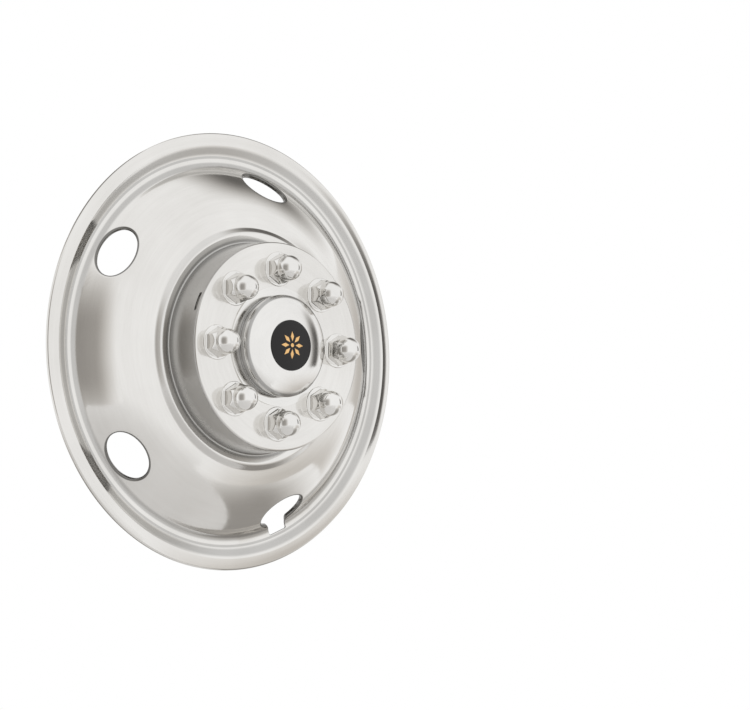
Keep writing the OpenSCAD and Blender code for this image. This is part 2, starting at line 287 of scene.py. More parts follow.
# %% The steel's finish
def polished_steel(name, colour, dull_colour, gloss, dull, wave, recesses=()):
    """Buffed steel: gloss and dull are its least and greatest roughness, wave the bump's height, and
    recesses get painted shade.
    """
    material, net = new_material(name)
    place = net.node("ShaderNodeTexCoord", out="Object")
    x, _, z = net.axes(place)
    radius = net.math("SQRT", x * x + z * z) + 1e-5
    lines = net.noise(net.vector(x / radius * 2.5, z / radius * 2.5, radius * 260), 1.0, 3.0)
    fine_lines = net.noise(net.vector(x / radius * 6, z / radius * 6, radius * 1400), 1.0, 2.0)
    patches = net.noise(place, 11.0, 3.0)
    sheet_wave = net.noise(place, 16.0, 1.0)
    dullness = net.share(patches * 0.6 + lines * 0.25 + fine_lines * 0.15, 0.35, 0.65)
    tint = net.mix(dullness, colour, dull_colour)
    roughness = gloss + dullness * (dull - gloss)
    if recesses:
        # Painted shade: the recesses get a darker colour, and also a rougher finish
        shade = painted_recess_shade(net, radius, recesses)
        tint = net.scaled(tint, shade)
        roughness = roughness + (1.0 - shade) * 0.35
    # The marked edge rings take the dark colour: cut metal at the cut edges, painted shade on the rolls
    # and collars
    punched = net.node("ShaderNodeAttribute", {"attribute_name": "punched"}, out=2)
    tint = net.mix(punched, tint, CUT_METAL_AND_SHADE)
    height = sheet_wave * wave + fine_lines * (wave * 0.002)
    bump = net.node("ShaderNodeBump", {}, {"Height": height, "Distance": 1.0, "Strength": 1.0})
    finish_material(net, Base_Color=tint, Metallic=1.0, Roughness=roughness, Normal=bump)
    return material


# Each pair: the steel's colour where it is bright and where it is dull
LINER_TONES = (0.82, 0.808, 0.785), (0.74, 0.725, 0.70)
SMALL_PART_TONES = (0.84, 0.83, 0.81), (0.77, 0.76, 0.74)
STEEL = polished_steel("polished_steel", *LINER_TONES, 0.07, 0.15, 0.00006, PAINTED_RECESS_SHADE)
COVER_STEEL = polished_steel("cover_steel", *SMALL_PART_TONES, 0.05, 0.11, 0.00002)
CAP_STEEL = polished_steel("cap_steel", *SMALL_PART_TONES, 0.08, 0.15, 0.00003, CAP_PAINTED_RECESS_SHADE)
print("steel finishes:", STEEL.name, COVER_STEEL.name, CAP_STEEL.name)

# %% [markdown]
# ## Spring steel and the emblem
# The clips and push rings behind the liner are plain rolled strip: darker, drawn in one
# direction and much less glossy. The emblem is a black enamelled disc under clear lacquer. Its
# ornament is a plain ring of eight gold lozenges, worked out from the angle and the radius.

# %% The spring steel's finish
def spring_steel():
    """Rolled strip: a grain along one direction, and soft patches."""
    material, net = new_material("spring_steel")
    place = net.node("ShaderNodeTexCoord", out="Object")
    drawn = net.node("ShaderNodeMapping", {}, {"Vector": place, "Scale": (900.0, 90.0, 900.0)})
    grain = net.noise(drawn, 1.0, 3.0)
    patches = net.noise(place, 60.0, 2.0)
    shade = grain * 0.6 + patches * 0.4
    colour = net.ramp(shade, [(0.3, (0.36, 0.35, 0.34)), (0.7, (0.52, 0.51, 0.49))])
    bump = net.node("ShaderNodeBump", {}, {"Height": grain * 0.00002, "Distance": 1.0})
    finish_material(net, Base_Color=colour, Metallic=1.0, Roughness=0.25 + grain * 0.25, Normal=bump)
    return material


SPRING_STEEL = spring_steel()
print("spring steel:", SPRING_STEEL.name)

# %% The emblem's finish
LOZENGES = 8
LOZENGE_R = 9.5 * MM
LOZENGE_LONG = 5.2 * MM
LOZENGE_WIDE = 2.2 * MM
BOSS_R = 2.1 * MM
GOLD = (0.93, 0.60, 0.27)
ENAMEL = (0.012, 0.011, 0.011)


def emblem_finish():
    """Black enamel with a ring of gold lozenges and a small gold boss."""
    material, net = new_material("emblem_enamel")
    place = net.node("ShaderNodeTexCoord", out="Object")
    x, _, z = net.axes(place)
    radius = net.math("SQRT", x * x + z * z)
    step = 2 * math.pi / LOZENGES
    angle = net.math("ARCTAN2", z, x)
    off = net.math("WRAP", angle, step / 2, -step / 2)
    along = net.math("ABSOLUTE", radius - LOZENGE_R) / LOZENGE_LONG
    across = net.math("ABSOLUTE", off * radius) / LOZENGE_WIDE
    lozenge = net.math("LESS_THAN", along + across, 1.0)
    boss = net.math("LESS_THAN", radius, BOSS_R)
    gold = net.math("MAXIMUM", lozenge, boss)
    speck = net.noise(place, 900.0, 2.0)
    worn = net.ramp(speck, [(0.3, (0.80, 0.47, 0.18)), (0.7, GOLD)])
    colour = net.mix(gold, ENAMEL, worn)
    bump = net.node("ShaderNodeBump", {}, {"Height": gold * 0.00005, "Distance": 1.0})
    finish_material(
        net,
        Base_Color=colour,
        Metallic=gold * 0.6,
        Roughness=0.20 + gold * 0.15,
        Specular_IOR_Level=0.25,
        Coat_Weight=0.12,
        Coat_Roughness=0.06,
        Normal=bump,
    )
    return material


EMBLEM = emblem_finish()
print("emblem:", LOZENGES, "lozenges of", LOZENGE_LONG * 2, "m")

# %% [markdown]
# ## The liner's section
# A stamping is one sheet bent again and again, so its shape is a line with rounded corners that
# is turned about the wheel axis. The line runs from the rolled rim edge inwards: flange, sloping
# band, valley, dish, shoulder ridge, groove, drum wall and plate. Each corner is a point and a
# bend radius, as a toolmaker would give it. Heights count from the seat plane towards the face.

# %% Round the corners of a line
def unit(v):
    return v / np.linalg.norm(v)


def left_of(v):
    return np.array([-v[1], v[0]])


def swung(v, angle):
    """A flat vector turned by an angle."""
    cos, sin = math.cos(angle), math.sin(angle)
    return np.array([v[0] * cos - v[1] * sin, v[0] * sin + v[1] * cos])


def arc(corner, before, after, radius, step=3.0):
    """The points that round a corner with an arc of the given radius."""
    a, b = unit(corner - before), unit(after - corner)
    turn = math.atan2(a[0] * b[1] - a[1] * b[0], a @ b)
    reach = radius * math.tan(abs(turn) / 2)
    start = corner - a * reach
    middle = start + math.copysign(radius, turn) * left_of(a)
    steps = max(1, math.ceil(abs(math.degrees(turn)) / step))
    return [middle + swung(start - middle, turn * k / steps) for k in range(steps + 1)]


def rounded(corners):
    """A line through the corners, each ((radius, height), bend radius) in metres, with its bends."""
    places = [np.array(c[0], float) for c in corners]
    line = []
    for k, (_, bend) in enumerate(corners):
        if bend > 0:
            line += arc(places[k], places[k - 1], places[k + 1], bend)
        else:
            line.append(places[k])
    return np.array(line)


# %% The dish's arc and the whole line
VALLEY_H = 0.8 * MM
DISH_FOOT = np.array([199.3, 0.8]) * MM
DISH_TOP = np.array([130.0, 48.8]) * MM
DISH_ROUND = 104.5 * MM
DISH_STEPS = 192
CHORD = DISH_TOP - DISH_FOOT
HALF_CHORD = np.linalg.norm(CHORD) / 2
CHORD_TO_MIDDLE = math.sqrt(DISH_ROUND**2 - HALF_CHORD**2)
DISH_MIDDLE = (DISH_FOOT + DISH_TOP) / 2 + left_of(unit(CHORD)) * CHORD_TO_MIDDLE


def dish_point(share):
    """A point on the dish's arc, from its foot at 0 to its crease at 1."""
    angle = 2 * math.asin(HALF_CHORD / DISH_ROUND) * share
    return DISH_MIDDLE + swung(DISH_FOOT - DISH_MIDDLE, angle)


# The bends at the dish's two ends take up a little of its arc
dish_steps = range(DISH_STEPS // 16, DISH_STEPS - 3)
LINE = rounded(
    [
        ((RIM_R, 0), 0),
        ((RIM_R, 3.4 * MM), 2 * MM),
        ((RIM_R - FLANGE_W / 2, 5 * MM), 24 * MM),
        ((RIM_R - FLANGE_W, 5.8 * MM), 2.6 * MM),
        ((211 * MM, VALLEY_H), 2.4 * MM),
        (DISH_FOOT, 8 * MM),
    ]
    + [(dish_point(k / DISH_STEPS), 0) for k in dish_steps]
    + [
        (DISH_TOP, 1.6 * MM),
        ((124 * MM, 54.6 * MM), 4.5 * MM),
        ((112.7 * MM, 51.6 * MM), 1.8 * MM),
        ((PLATE_R, PLATE_H), PLATE_BEND),
        ((OPENING_R, PLATE_H), 0),
    ]
)
print("the line has", len(LINE), "points")

# %% [markdown]
# ## A surface from the line
# Any spot on the sheet is then given by two numbers: how far along the line it lies, and its
# angle round the wheel. A third, the depth, moves it into the sheet. The functions below turn
# such numbers into places, and find the spot on the line for a given radius.

# %% Measure along the line
steps_along = np.linalg.norm(np.diff(LINE, axis=0), axis=1)
ALONG = np.concatenate([[0], np.cumsum(steps_along)])
headings = np.diff(LINE, axis=0) / steps_along[:, None]
heading = np.vstack([headings[:1], headings[:-1] + headings[1:], headings[-1:]])
heading /= np.linalg.norm(heading, axis=1)[:, None]
INWARDS = np.column_stack([-heading[:, 1], heading[:, 0]])


def spot(along, angle, depth=0.0):
    """Places on the sheet: along the line, at an angle in radians, at a depth behind the face."""
    radius = np.interp(along, ALONG, LINE[:, 0]) + depth * np.interp(along, ALONG, INWARDS[:, 0])
    height = np.interp(along, ALONG, LINE[:, 1]) + depth * np.interp(along, ALONG, INWARDS[:, 1])
    return np.stack([radius * np.cos(angle), -height + 0 * angle, radius * np.sin(angle)], axis=-1)


def radius_at(along):
    return np.interp(along, ALONG, LINE[:, 0])


# From the valley's outer side to the crease, each radius has one spot on the line
slope_side = (LINE[:, 1] < 49 * MM) & (LINE[:, 0] > 129 * MM) & (LINE[:, 0] < 212 * MM)
slope_radii = LINE[slope_side, 0][::-1]
slope_along = ALONG[slope_side][::-1]
slope_heights = LINE[slope_side, 1][::-1]
turns = np.abs(np.diff(np.unwrap(np.arctan2(headings[:, 1], headings[:, 0]))))
print("length along the line", round(ALONG[-1], 4), "m")

# %% Choose where the mesh has its rings
LONGEST_STEP = 4.6 * MM
LARGEST_TURN = math.radians(11)
effort = steps_along / LONGEST_STEP
effort[:-1] += turns / LARGEST_TURN
effort = np.concatenate([[0], np.cumsum(effort)])
RINGS = np.interp(np.linspace(0, effort[-1], math.ceil(effort[-1]) + 1), effort, ALONG)
COLUMNS = 320
COLUMN = 2 * math.pi / COLUMNS
print(len(RINGS), "rings of", COLUMNS, "points")


def column_angle(j):
    return math.radians(FIRST_HOLE) + COLUMN * j


# %% [markdown]
# ## The liner as a mesh
# A boolean cut would leave ragged faces round each hole, and a mirror finish shows every one of
# them. So the mesh is laid out directly: a plain grid of rings and columns covers the sheet, and
# round each hole a patch of the grid is left out and filled with rings of its own that change
# step by step from the hole's outline to the patch's edge. The back is the same layout at the
# sheet's depth, and the hole's edge joins the two.

# %% A mesh that grows by rings
class Shell:
    """Vertices and faces of the liner."""

    def __init__(self):
        self.places = []
        self.faces = []
        self.count = 0
        self.punched = []
        self.taken = np.zeros((len(RINGS) - 1, COLUMNS), bool)
        angles = column_angle(np.arange(COLUMNS))[None, :]
        self.front = self.add(spot(RINGS[:, None], angles))
        self.back = self.add(spot(RINGS[:, None], angles, SHEET))

    def add(self, places):
        """Adds vertices and gives their numbers, in the same layout as the places."""
        flat = places.reshape(-1, 3)
        self.places.append(flat)
        numbers = np.arange(self.count, self.count + len(flat)).reshape(places.shape[:-1])
        self.count += len(flat)
        return numbers

    def join(self, a, b):
        """Joins two closed rings of as many vertices, or b with a whole number of times more."""
        share = len(b) // len(a)
        for k in range(len(a)):
            outer = [a[k], a[(k + 1) % len(a)]]
            inner = [b[(share * k + m) % len(b)] for m in range(share + 1)]
            self.faces.append([int(v) for v in outer + inner[::-1]])

    def grid_faces(self, numbers):
        """Adds the faces of the grid that no hole has taken."""
        for i, j in zip(*np.nonzero(~self.taken)):
            after = (j + 1) % COLUMNS
            corners = numbers[i, j], numbers[i, after], numbers[i + 1, after], numbers[i + 1, j]
            self.faces.append([int(v) for v in corners])


shell = Shell()
print("grid vertices:", shell.count)

# %% [markdown]
# ## Outlines of the holes
# A hand hole is an oval that was punched square to the dish, so its outline is found by sending
# each point of a flat oval along the punch's direction until it meets the dish. The hole at the
# bottom has a notch for the tyre valve. The notch and the oval flow into each other, because the
# press rounds the corner between them. Outlines are kept as a distance for each direction from
# the hole's middle, which makes both the union and the offset short.

# %% The oval on the dish
HOLE_R = 185 * MM
HOLE_W = 59 * MM
HOLE_LEN = 38 * MM
NOTCH_W = 24 * MM
NOTCH_R = 206.8 * MM
DIRECTIONS = np.linspace(-math.pi, math.pi, 721)
HOLE_SLOPE = math.asin((HOLE_R - DISH_MIDDLE[0]) / DISH_ROUND)
HOLE_H = DISH_MIDDLE[1] + DISH_ROUND * math.cos(HOLE_SLOPE)


def dish_height(x, y):
    return np.interp(np.hypot(x, y), slope_radii, slope_heights)


def oval_outline():
    """The punched oval as distances from the hole's middle, in the plane of the wheel."""
    t = np.linspace(0, 2 * math.pi, 1441)
    u, v = HOLE_LEN / 2 * np.cos(t), HOLE_W / 2 * np.sin(t)
    low, high = np.full_like(t, -0.02), np.full_like(t, 0.02)
    for _ in range(40):
        travel = (low + high) / 2
        x = HOLE_R + u * math.cos(HOLE_SLOPE) + travel * math.sin(HOLE_SLOPE)
        height = HOLE_H - u * math.sin(HOLE_SLOPE) + travel * math.cos(HOLE_SLOPE)
        above = height > dish_height(x, v)
        high = np.where(above, travel, high)
        low = np.where(above, low, travel)
    direction = np.arctan2(v, x - HOLE_R)
    order = np.argsort(direction)
    distance = np.hypot(v, x - HOLE_R)
    return np.interp(DIRECTIONS, direction[order], distance[order], period=2 * math.pi)


print("the dish slopes by", round(math.degrees(HOLE_SLOPE), 1), "degrees at the holes")


# %% The notch, the union and the offset
def notch_outline():
    """The notch as distances from the hole's middle, nothing where it doesn't reach."""
    reach = NOTCH_R - HOLE_R
    ahead = np.abs(DIRECTIONS) < math.pi / 2
    sides = NOTCH_W / 2 / np.maximum(np.abs(np.sin(DIRECTIONS)), 1e-6)
    bottom = reach / np.maximum(np.cos(DIRECTIONS), 1e-6)
    softness = 0.6 * MM
    rounded_end = -softness * np.log(np.exp(-sides / softness) + np.exp(-bottom / softness))
    return np.where(ahead, rounded_end, 0)


def union(a, b, softness=2.2 * MM):
    """The larger of two outlines, with the corner between them rounded."""
    return softness * np.log(np.exp(a / softness) + np.exp(b / softness))


def grown(outline, by):
    """The outline moved outwards, square to itself, by a size or a row of sizes."""
    x, y = outline * np.cos(DIRECTIONS), outline * np.sin(DIRECTIONS)
    dx, dy = np.gradient(x), np.gradient(y)
    for d in (dx, dy):
        d[0] = d[-1] = (d[0] + d[-1]) / 2
    length = np.hypot(dx, dy)
    x, y = x + by * dy / length, y - by * dx / length
    direction = np.arctan2(y, x)
    order = np.argsort(direction)
    return np.interp(DIRECTIONS, direction[order], np.hypot(x, y)[order], period=2 * math.pi)


OVAL = oval_outline()
NOTCHED = union(OVAL, notch_outline())
print("the oval reaches", round(OVAL.min(), 4), "to", round(OVAL.max(), 4), "m")
print("at the notch it reaches", round(NOTCHED[len(DIRECTIONS) // 2], 4), "m")

# %% [markdown]
# ## Opening a patch for a hole
# The patch's edge is a loop of grid vertices. Each point of the hole's outline lies in the same
# direction from the hole's middle as its partner on the loop, and the rings between are shares
# of the way. Flat gives a spot's place in the plane in which the outline is drawn, and curved
# leads back to the sheet.

# %% Two ways to draw flat
class Plane:
    """Draws outlines in the plane of the wheel, about a point at a radius and an angle."""

    def __init__(self, radius, angle, radii, alongs):
        self.radius, self.angle, self.radii, self.alongs = radius, angle, radii, alongs

    def flat(self, along, angle):
        r, turn = radius_at(along), angle - self.angle
        return np.stack([r * np.cos(turn) - self.radius, r * np.sin(turn)], -1)

    def curved(self, p):
        x, y = p[..., 0] + self.radius, p[..., 1]
        return np.interp(np.hypot(x, y), self.radii, self.alongs), self.angle + np.arctan2(y, x)


class Wall:
    """Draws outlines on the drum's wall, unrolled about a point."""

    def __init__(self, along, angle):
        self.along, self.angle, self.radius = along, angle, radius_at(along)

    def flat(self, along, angle):
        return np.stack([along - self.along, (angle - self.angle) * self.radius], -1)

    def curved(self, p):
        return self.along + p[..., 0], self.angle + p[..., 1] / self.radius


# %% The patch's edge and the hole's outline
def patch_loop(rows, columns):
    """Grid positions round a patch, as (row, column) pairs."""
    (i0, i1), (j0, j1) = rows, columns
    loop = [(i0, j) for j in range(j0, j1)] + [(i, j1) for i in range(i0, i1)]
    loop += [(i1, j) for j in range(j1, j0, -1)] + [(i, j0) for i in range(i1, i0, -1)]
    return loop


def widened(values, share):
    """Puts share - 1 points between each two points of a closed loop."""
    following = np.roll(values, -1, axis=0)
    steps = np.arange(share) / share
    return (values[:, None] * (1 - steps[:, None]) + following[:, None] * steps[:, None]).reshape(-1, 2)


def outline_points(outline, directions):
    distance = np.interp(directions, DIRECTIONS, outline)
    return np.stack([distance * np.cos(directions), distance * np.sin(directions)], -1)


# %% Fill a patch
RING_SHARES = (0.86, 0.62, 0.40, 0.22, 0.09, 0.0)


def open_patch(drawing, rows, columns, share, front_outline, back_outline, edge):
    """Leaves a patch of the grid out, fills it round the hole and joins front and back by edge."""
    loop = patch_loop(rows, columns)
    shell.taken[rows[0] : rows[1], np.arange(columns[0], columns[1]) % COLUMNS] = True
    spots = np.array([(RINGS[i], column_angle(j)) for i, j in loop])
    border = widened(drawing.flat(spots[:, 0], spots[:, 1]), share)
    directions = np.arctan2(border[:, 1], border[:, 0])
    last = []
    for grid, outline, depth in ((shell.front, front_outline, 0), (shell.back, back_outline, SHEET)):
        ring = np.array([grid[i, j % COLUMNS] for i, j in loop])
        target = outline_points(outline, directions)
        for way in RING_SHARES:
            along, angle = drawing.curved(border * way + target * (1 - way))
            following = shell.add(spot(along, angle, depth))
            shell.join(ring, following)
            ring = following
        last.append(ring)
    ring = last[0]
    # Every edge ring is marked for the dark colour: the cut edge shows bare cut metal, the rolls and
    # collars get painted shade
    for places in edge(drawing, directions):
        following = shell.add(places)
        shell.punched.append(following)
        shell.join(ring, following)
        ring = following
    shell.join(ring, last[1])


# %% [markdown]
# ## Edges of the holes
# A punched hole has a plain edge of the sheet's thickness. A hand hole is drawn as well: the
# tool pulls its edge inwards into a short collar, and the face rolls over into it. That roll, with
# the dark colour that it and the collar take as painted shade, makes the dark line round each hole.
# The roll is a curve that starts along the face and ends along the collar. Beside the valve notch
# the collar fades out into a plain edge. The narrow slot has a collar as deep as the slot is wide,
# so nobody sees through it from the side, and that collar is dark with painted shade too.

# %% Collared edges
LIP = 2.0 * MM
PLAIN_LIP = 0.35 * MM
COLLAR = 4.6 * MM
ROLL_STEPS = 6


def rolled(a, b, c, steps=ROLL_STEPS):
    """Points between a and c on a curve that leaves a towards b and comes to c from b."""
    return [a * (1 - t) ** 2 + 2 * b * t * (1 - t) + c * t**2 for t in np.arange(1, steps + 1) / steps]


def on_sheet(drawing, outline, directions, depth=0.0):
    along, angle = drawing.curved(outline_points(outline, directions))
    return spot(along, angle, depth)


def collared_edge(outline, lip, collar, hole_angle):
    """The rings down a collar and back up its outside."""

    def rings(drawing, directions):
        lips = np.interp(directions, DIRECTIONS, lip)[:, None]
        depths = np.interp(directions, DIRECTIONS, collar)[:, None]
        tilt = math.sin(HOLE_SLOPE) * np.clip((depths - SHEET) / (COLLAR - SHEET), 0, 1)
        down = np.concatenate(
            [-tilt * math.cos(hole_angle), np.sqrt(1 - tilt**2), -tilt * math.sin(hole_angle)], axis=1
        )
        start = on_sheet(drawing, grown(outline, lip), directions)
        face = on_sheet(drawing, outline, directions)
        outside = on_sheet(drawing, grown(outline, SHEET), directions)
        behind = on_sheet(drawing, grown(outline, SHEET + lip), directions, SHEET)
        made = rolled(start, face, face + down * lips)
        made.append(face + down * (lips + depths) / 2)
        made.append(face + down * depths)
        made.append(outside + down * depths)
        root = outside + down * np.minimum(SHEET + lips, depths - 0.02 * MM)
        made.append(root)
        made += rolled(root, outside + down * SHEET, behind, 4)[:-1]
        return made

    return rings


# %% Plain edges and deep ones
def plain_edge(outline):
    """The rings through a plain hole, with its two arrises just broken."""

    def rings(drawing, directions):
        face = on_sheet(drawing, outline, directions)
        back = on_sheet(drawing, outline, directions, SHEET)
        return [face * 0.75 + back * 0.25, face * 0.25 + back * 0.75]

    return rings


def drawn_edge(outline, depth):
    """The rings down a short collar that stands square to the sheet, and back up its outside."""

    def rings(drawing, directions):
        outside = grown(outline, SHEET)
        made = [on_sheet(drawing, outline, directions, depth * share) for share in (0.06, 0.5, 1.0)]
        made.append(on_sheet(drawing, outside, directions, depth))
        made.append(on_sheet(drawing, outside, directions, SHEET + 0.15 * MM))
        return made

    return rings


# %% [markdown]
# ## Cutting all the holes
# Five hand holes stand round the dish, one of them with the notch. Eight round holes in the plate
# take the tails of the nut covers, and a narrow slot lies in the drum's wall.

# %% Cut the hand holes
def ring_near(along):
    return int(np.argmin(np.abs(RINGS - along)))


def along_slope(radius):
    return float(np.interp(radius, slope_radii, slope_along))


HAND_ROWS = (ring_near(along_slope(210.2 * MM)), ring_near(along_slope(150 * MM)))
HAND_COLUMNS = 14
# 1 in the directions in which the notch opens the oval, and 0 elsewhere, with soft steps
notch_share = np.clip((notch_outline() + 1 * MM - OVAL) / (3 * MM), 0, 1)
kernel = np.hanning(31)
notch_share = np.convolve(np.pad(notch_share, 15, mode="wrap"), kernel / kernel.sum(), "valid")
for hole in range(HOLES):
    outline = NOTCHED if hole == 0 else OVAL
    fade = notch_share if hole == 0 else 0 * notch_share
    lip = LIP * (1 - fade) + PLAIN_LIP * fade
    collar = COLLAR * (1 - fade) + (SHEET + 0.1 * MM) * fade
    middle = round(COLUMNS / HOLES * hole)
    drawing = Plane(HOLE_R, column_angle(middle), slope_radii, slope_along)
    open_patch(
        drawing,
        HAND_ROWS,
        (middle - HAND_COLUMNS, middle + HAND_COLUMNS),
        2,
        grown(outline, lip),
        grown(outline, SHEET + lip),
        collared_edge(outline, lip, collar, column_angle(middle)),
    )
print("hand holes cut from ring", HAND_ROWS)

# %% Cut the plate's holes
TAIL_HOLE_R = 13.4 * MM
LUG_PATCH = 20 * MM
LUG_COLUMNS = 14
circle = np.full_like(DIRECTIONS, TAIL_HOLE_R)
# The plate is the last straight stretch of the line
plate_radii = LINE[:-3:-1, 0]
plate_along = ALONG[:-3:-1]
lug_along = ALONG[-1] - (LUG_R - OPENING_R)
plate_rows = (ring_near(lug_along - LUG_PATCH), ring_near(lug_along + LUG_PATCH))
for lug in range(LUGS):
    middle = round((360 / LUGS * lug - FIRST_HOLE) / math.degrees(COLUMN))
    drawing = Plane(LUG_R, column_angle(middle), plate_radii, plate_along)
    open_patch(
        drawing,
        plate_rows,
        (middle - LUG_COLUMNS, middle + LUG_COLUMNS),
        1,
        grown(circle, PLAIN_LIP),
        grown(circle, PLAIN_LIP),
        plain_edge(circle),
    )
print("tail holes cut from ring", plate_rows)

# %% Cut the slot
SLOT_LEN = 21 * MM
SLOT_W = 4 * MM
SLOT_BACK = 7.2 * MM
SLOT_COLLAR = 4.2 * MM
SLOT_COLUMNS = 8
half, straight = SLOT_W / 2, (SLOT_LEN - SLOT_W) / 2
across, lengthwise = np.abs(np.cos(DIRECTIONS)), np.abs(np.sin(DIRECTIONS))
slot_side = half / np.maximum(across, 1e-6)
slot_end = straight * lengthwise + np.sqrt(np.maximum(half**2 - (straight * across) ** 2, 0))
slot = np.where(lengthwise * half <= across * straight, slot_side, slot_end)
from_bend = np.abs(LINE[:, 0] - PLATE_R) + np.abs(LINE[:, 1] - (PLATE_H - PLATE_BEND))
wall_end = float(ALONG[np.argmin(from_bend)])
slot_along = wall_end - (SLOT_BACK - PLATE_BEND)
middle = round((SLOT_ANGLE - FIRST_HOLE) / math.degrees(COLUMN))
slot_rows = (ring_near(slot_along - 5 * MM), ring_near(slot_along + 4.4 * MM))
open_patch(
    Wall(slot_along, column_angle(middle)),
    slot_rows,
    (middle - SLOT_COLUMNS, middle + SLOT_COLUMNS),
    2,
    grown(slot, PLAIN_LIP * 0.6),
    grown(slot, SHEET + PLAIN_LIP * 0.6),
    drawn_edge(slot, SLOT_COLLAR),
)
print("slot cut from ring", slot_rows)

# %% [markdown]
# ## Closing the liner
# The faces of the grid are added last, because only now is it known which of them the holes
# took. The rolled edge and the middle opening join front and back, and the result has to be
# one closed skin, which the count of open edges shows.

# %% Helpers for a finished piece
def tidy_mesh(mesh, merge=0.0):
    """Drops what is loose, points the faces outwards, and returns the count of open edges."""
    work = bmesh.new()
    work.from_mesh(mesh)
    if merge:
        bmesh.ops.remove_doubles(work, verts=work.verts, dist=merge)
    bmesh.ops.delete(work, geom=[e for e in work.edges if not e.link_faces], context="EDGES")
    bmesh.ops.delete(work, geom=[v for v in work.verts if not v.link_faces], context="VERTS")
    bmesh.ops.recalc_face_normals(work, faces=work.faces)
    if work.calc_volume(signed=True) < 0:
        bmesh.ops.reverse_faces(work, faces=work.faces)
    open_edges = sum(1 for e in work.edges if len(e.link_faces) != 2)
    work.to_mesh(mesh)
    work.free()
    return open_edges


def smooth_mesh(mesh, sharp=40):
    """Shades a mesh smooth apart from its sharp edges."""
    for polygon in mesh.polygons:
        polygon.use_smooth = True
    mesh.set_sharp_from_angle(angle=math.radians(sharp))


def dress(piece, material, slot, *nodes):
    """Gives a finished piece its material, and puts it in the place of the CAD nodes."""
    piece.data.materials.clear()
    piece.data.materials.append(material)
    if nodes:
        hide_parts(*nodes)
    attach(piece, "root")
    triangles = sum(len(p.vertices) - 2 for p in piece.data.polygons)
    print(piece.name, "has", triangles, "triangles")


def new_object(name, places, faces, edges=()):
    """An object in the scene, from its vertices and faces."""
    mesh = bpy.data.meshes.new(name)
    mesh.from_pydata([tuple(map(float, p)) for p in places], list(edges), faces)
    piece = bpy.data.objects.new(name, mesh)
    bpy.context.scene.collection.objects.link(piece)
    return piece


# %% Close the liner
shell.grid_faces(shell.front)
shell.grid_faces(shell.back)
shell.join(shell.front[0], shell.back[0])
shell.join(shell.front[-1], shell.back[-1])
liner = new_object("liner_stamping", np.concatenate(shell.places), shell.faces)
# The marks for the dark edge colour: cut metal at the cut edges, painted shade on the rolls and collars
punched = np.zeros(shell.count)
punched[np.concatenate(shell.punched)] = 1
liner.data.attributes.new("punched", "FLOAT", "POINT").data.foreach_set("value", punched)
print("open edges of the liner:", tidy_mesh(liner.data))
smooth_mesh(liner.data)
dress(liner, STEEL, "polished_steel", "wheel_liner")

# %% [markdown]
# ## Turning a line, with Geometry Nodes
# The cap and the emblem are turned pieces: every cut through the axis shows the same outline. A
# tree of nodes can do the turning. Its grid has one row for each point of the outline and one
# column for each step round the axis, each vertex looks up its point of the outline, and it is
# then turned by its column's share of a full turn. Merging closes the seam and the poles.

# %% A tree that turns an outline
def new_tree(name, inputs):
    """A Geometry Nodes tree with named inputs, its Net and the identifiers of the inputs."""
    tree = bpy.data.node_groups.new(name, "GeometryNodeTree")
    tree.interface.new_socket(name="Geometry", in_out="INPUT", socket_type="NodeSocketGeometry")
    tree.interface.new_socket(name="Geometry", in_out="OUTPUT", socket_type="NodeSocketGeometry")
    identifiers = {}
    for label, kind in inputs.items():
        socket = tree.interface.new_socket(name=label, in_out="INPUT", socket_type=kind)
        identifiers[label] = socket.identifier
    net = Net(tree)
    entry = tree.nodes.new("NodeGroupInput")
    given = {label: Value(net, entry.outputs[label]) for label in ["Geometry", *inputs]}
    return tree, net, given, identifiers


def end_tree(net, geometry, material):
    """Every tree ends the same way: real geometry with its material."""
    real = net.node("GeometryNodeRealizeInstances", {}, {0: geometry})
    dressed = net.node("GeometryNodeSetMaterial", {}, {"Geometry": real, "Material": material})
    net.node("NodeGroupOutput", {}, {0: dressed})


def turning_tree():
    """Turns the points of an outline about the wheel axis."""
    tree, net, given, names = new_tree(
        "turned_outline", {"Columns": "NodeSocketInt", "Material": "NodeSocketMaterial"}
    )
    rows = net.node("GeometryNodeAttributeDomainSize", {"component": "MESH"}, {0: given["Geometry"]})
    columns = given["Columns"]
    grid = net.node("GeometryNodeMeshGrid", {}, {"Vertices X": rows, "Vertices Y": columns + 1})
    index = net.node("GeometryNodeInputIndex")
    row = net.math("FLOOR", (index + 0.5) / (columns + 1))
    column = index - row * (columns + 1)
    place = net.node("GeometryNodeInputPosition")
    point = net.node(
        "GeometryNodeSampleIndex",
        {"data_type": "FLOAT_VECTOR", "domain": "POINT"},
        {"Geometry": given["Geometry"], "Value": place, "Index": row},
    )
    turned = net.node(
        "ShaderNodeVectorRotate",
        {"rotation_type": "Y_AXIS"},
        {"Vector": point, "Angle": column / columns * (-2 * math.pi)},
    )
    moved = net.node("GeometryNodeSetPosition", {}, {"Geometry": grid, "Position": turned})
    merged = net.node("GeometryNodeMergeByDistance", {}, {"Geometry": moved, "Distance": 0.002 * MM})
    smooth = net.node("GeometryNodeSetShadeSmooth", {}, {"Geometry": merged})
    end_tree(net, smooth, given["Material"])
    return tree, names


TURNING, TURNING_INPUTS = turning_tree()
print("turning tree has", len(TURNING.nodes), "nodes")


# %% Run a tree and keep its mesh
def run_tree(piece, tree, identifiers, values):
    """Adds the tree to a piece, replaces the piece's mesh by the result, and removes the tree."""
    modifier = piece.modifiers.new("nodes", "NODES")
    modifier.node_group = tree
    for label, value in values.items():
        modifier[identifiers[label]] = value
    bpy.context.view_layer.update()
    evaluated = piece.evaluated_get(bpy.context.evaluated_depsgraph_get())
    mesh = bpy.data.meshes.new_from_object(evaluated)
    piece.modifiers.clear()
    piece.data = mesh
    mesh.name = piece.name
    return piece


